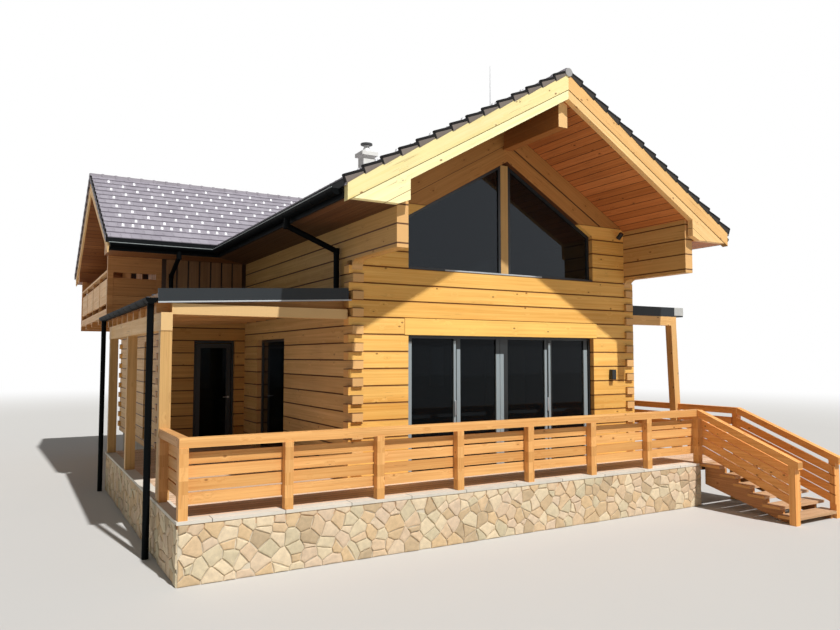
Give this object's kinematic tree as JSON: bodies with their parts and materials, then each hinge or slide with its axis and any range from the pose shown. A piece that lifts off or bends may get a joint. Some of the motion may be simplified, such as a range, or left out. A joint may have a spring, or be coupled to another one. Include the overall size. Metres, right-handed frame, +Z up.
{
  "type": "alpine chalet",
  "caption": "Log chalet on a stone terrace: gabled front wing before a cross main house, with porch, canopy, balcony, slatted railings, outside stair and tiled roofs.",
  "frame": {"origin": "on the lowest ground, under the middle of the main house", "axes": "+Z up; -Y towards the front gable; X along the ridge of the main house, +X towards the stair"},
  "size_m": [11.984, 15.8853, 8.3032],
  "materials": {
    "log_wood": "oiled, satin",
    "beam_wood": "planed, satin",
    "soffit_wood": "stained boards, satin",
    "roof_tile": "matt",
    "dark_metal": "satin",
    "wall_stone": "rough",
    "coping_stone": "matt",
    "deck_wood": "weathered, matt",
    "window_glass": "polished",
    "chimney_render": "rendered, matt",
    "bright_steel": "brushed"
  },
  "bodies": {
    "house": {"foundation": "wall_stone", "terrace_base": "wall_stone", "terrace_coping": "coping_stone", "terrace_deck": "deck_wood", "deck_posts": "beam_wood", "stair_treads": "deck_wood", "stair_stringers": "beam_wood", "front_railing": "log_wood", "left_railing": "log_wood", "right_railing": "log_wood", "stair_railings": "log_wood", "ground_floor": "deck_wood", "front_wall": "log_wood", "front_lintel": "log_wood", "left_wall": "log_wood", "right_wall": "log_wood", "porch_wall_left": "log_wood", "porch_wall_right": "log_wood", "porch_wall_over_door": "log_wood", "east_wall_front": "log_wood", "main_left_wall": "log_wood", "main_right_wall": "log_wood", "main_rear_wall": "log_wood", "upper_floor": "deck_wood", "knee_walls": "log_wood", "left_gable_wall": "log_wood", "right_gable_wall": "log_wood", "porch_posts": "beam_wood", "porch_beams": "beam_wood", "porch_rafters": "beam_wood", "porch_roof": "soffit_wood", "porch_fascia": "dark_metal", "canopy_roof": "dark_metal", "canopy_post": "beam_wood", "balcony_floor": "beam_wood", "balcony_side_panels": "log_wood", "balcony_front_rail": "log_wood", "gable_boards": "log_wood", "gable_post": "beam_wood", "ridge_purlin": "beam_wood", "front_bargeboards": "beam_wood", "main_bargeboards": "beam_wood", "front_roof": "soffit_wood", "main_roof": "soffit_wood", "front_tiles": "roof_tile", "main_tiles": "roof_tile", "ridge_caps": "roof_tile", "chimney": "chimney_render", "chimney_flue": "bright_steel", "eaves_fascia": "dark_metal", "gutters": "dark_metal", "downpipes": "dark_metal", "front_glazing_frame": "dark_metal", "gable_window_frame": "dark_metal", "window_frames": "dark_metal", "window_glass": "window_glass", "door_frame": "dark_metal"},
    "porch_door": {"door_leaf": "dark_metal", "door_glass": "window_glass", "door_handle": "bright_steel"}
  },
  "joints": [
    {"name": "porch_door", "type": "hinge", "parent": "house", "child": "porch_door", "pos_m": [-4.045, -2.823, 1.8], "axis": [0, 0, 1], "range_deg": [0, 90]}
  ]
}
